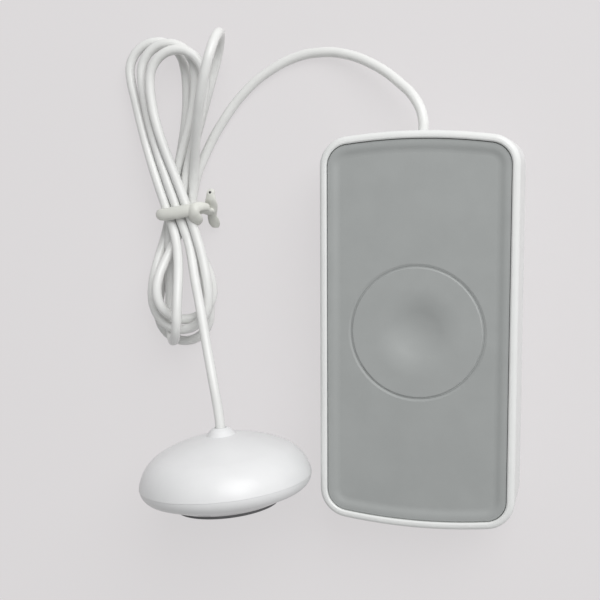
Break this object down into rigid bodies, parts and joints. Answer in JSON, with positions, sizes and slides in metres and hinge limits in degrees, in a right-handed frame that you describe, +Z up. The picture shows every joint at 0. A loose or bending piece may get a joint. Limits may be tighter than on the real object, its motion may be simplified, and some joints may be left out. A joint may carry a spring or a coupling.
{
  "type": "water leak sensor",
  "caption": "Water leak sensor: a flat rounded unit with a large press button in its grey front, and a domed floor probe on a bundled white cable.",
  "frame": {"origin": "centre of the unit's back face, which lies on the surface", "axes": "+Z up out of the unit's front panel, +Y along the unit towards the edge that the cable leaves"},
  "size_m": [0.133, 0.155, 0.0552],
  "materials": {
    "white_case": "satin white moulding",
    "grey_panel": "fine matt grey moulding",
    "grey_button": "fine matt grey moulding",
    "seal_rubber": "pale grey rubber",
    "steel": "plated steel",
    "board_green": "green solder mask",
    "copper": "bare copper trace",
    "black_plastic": "matt black",
    "foot_plastic": "dark grey foot",
    "white_fitting": "plain white moulding",
    "battery_wrap": "plain wrapped cell",
    "wire_insulation": "thin wire insulation",
    "cable_white": "white cable sheath",
    "probe_white": "smooth white moulding",
    "tie_plastic": "off-white plastic ribbon",
    "tie_steel": "thin iron wire"
  },
  "bodies": {
    "housing": {"rear_cover": "white_case", "front_frame": "white_case", "housing_gasket": "seal_rubber", "case_screws": "steel", "front_panel": "grey_panel", "tact_switch": "steel", "main_board": "board_green", "board_screws": "steel", "radio_module": "board_green", "radio_can": "steel", "antenna_trace": "copper", "control_chip": "black_plastic", "cable_header": "white_fitting", "cable_plug": "white_fitting", "cable_wires": "wire_insulation", "cable_sheath": "cable_white", "cable_grommet": "seal_rubber", "cable_clamp": "white_fitting", "clamp_screws": "steel", "battery_holder": "black_plastic", "battery_cell": "battery_wrap", "battery_spring": "steel", "battery_wires": "wire_insulation", "contact_positive": "steel", "contact_negative": "steel", "probe_shell": "probe_white", "probe_base": "probe_white", "probe_seal": "seal_rubber", "probe_foot": "foot_plastic", "probe_electrodes": "steel", "probe_board": "board_green", "probe_screws": "steel", "probe_bush": "seal_rubber", "probe_sheath": "cable_white", "probe_wires": "wire_insulation", "cable_lead": "cable_white", "cable_hank": "cable_white", "cable_tail": "cable_white", "cable_tie": "tie_plastic", "tie_wire": "tie_steel"},
    "button": {"push_button": "grey_button", "switch_plunger": "black_plastic"}
  },
  "joints": [
    {"name": "button_press", "type": "slide", "parent": "housing", "child": "button", "axis": [0, 0, -1], "range_m": [0, 0.0008], "stiffness_N_per_m": 2500}
  ]
}
